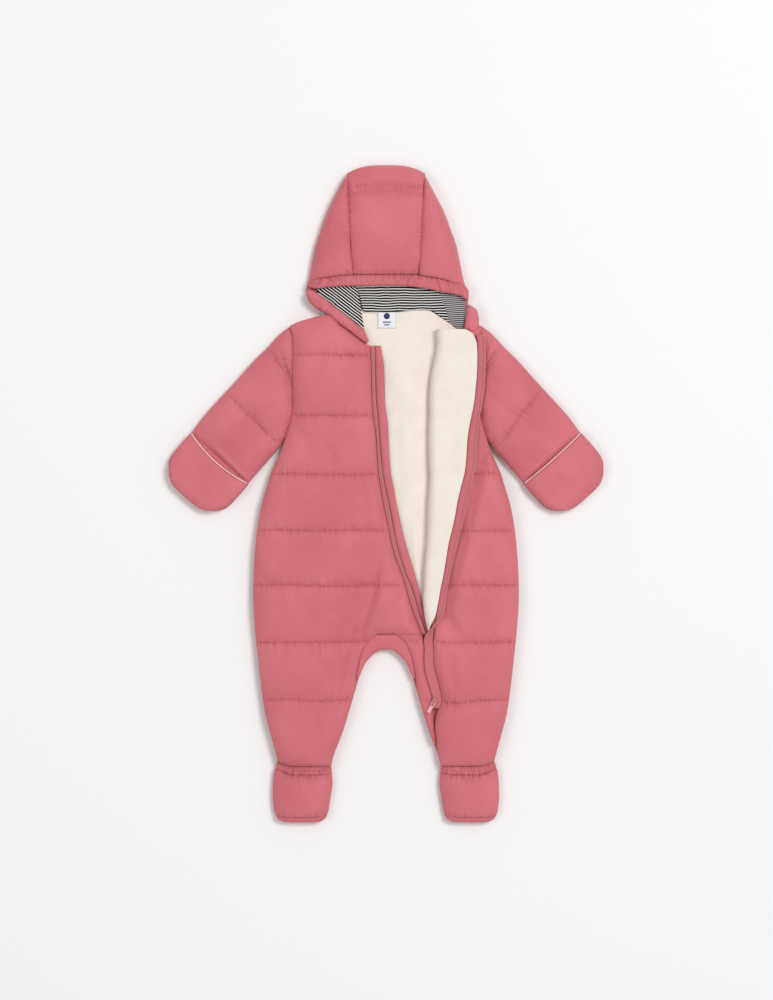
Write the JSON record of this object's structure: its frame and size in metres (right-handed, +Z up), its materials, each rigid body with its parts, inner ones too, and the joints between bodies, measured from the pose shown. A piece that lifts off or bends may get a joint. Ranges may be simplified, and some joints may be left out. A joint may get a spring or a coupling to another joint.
{
  "type": "baby snowsuit",
  "caption": "Quilted one-piece baby snowsuit with hood, fold-over mitts and booties, lying open on its back with its long zip undone",
  "frame": {"origin": "centre of the bounding box in plan, on the surface that the suit lies on", "axes": "X to the wearer's left, Y from the feet to the hood, Z up from the surface"},
  "size_m": [0.488, 0.738, 0.028],
  "materials": {
    "shell": "downproof woven nylon, quilted over wadding, soft sheen",
    "fleece": "short-pile cream fleece",
    "stripe": "fine cotton jersey in navy and off-white stripes",
    "piping": "cream cotton corded edging",
    "zip_tape": "woven polyester tape with moulded coil",
    "label": "white woven satin label",
    "zip_metal": "enamelled cast zinc, pale pink"
  },
  "bodies": {
    "garment": {"ankle_band_left": "shell", "ankle_band_right": "shell", "back": "shell", "back_lining": "fleece", "bootie_left": "shell", "bootie_right": "shell", "bootie_sole_left": "shell", "bootie_sole_right": "shell", "crotch_gusset": "shell", "front_left": "shell", "front_left_lining": "fleece", "front_right": "shell", "hood_casing_brow": "shell", "hood_casing_left": "shell", "hood_casing_right": "shell", "hood_centre": "shell", "hood_lining_centre": "stripe", "hood_lining_left": "stripe", "hood_lining_right": "stripe", "hood_side_left": "shell", "hood_side_right": "shell", "mitt_back_left": "shell", "mitt_back_right": "shell", "mitt_cover_left": "shell", "mitt_cover_right": "shell", "mitt_piping_left": "piping", "mitt_piping_right": "piping", "neck_label": "label", "sleeve_left": "shell", "sleeve_right": "shell", "wind_guard": "shell", "zip_slider": "zip_metal", "zip_tape_left": "zip_tape", "zip_tape_right": "zip_tape"},
    "pull": {"zip_pull": "zip_metal"}
  },
  "joints": [
    {"name": "pull_swing", "type": "hinge", "parent": "garment", "child": "pull", "pos_m": [0.0532, -0.2334, 0.0208], "axis": [-0.8711, 0.4911, 0], "range_deg": [0, 150]}
  ]
}
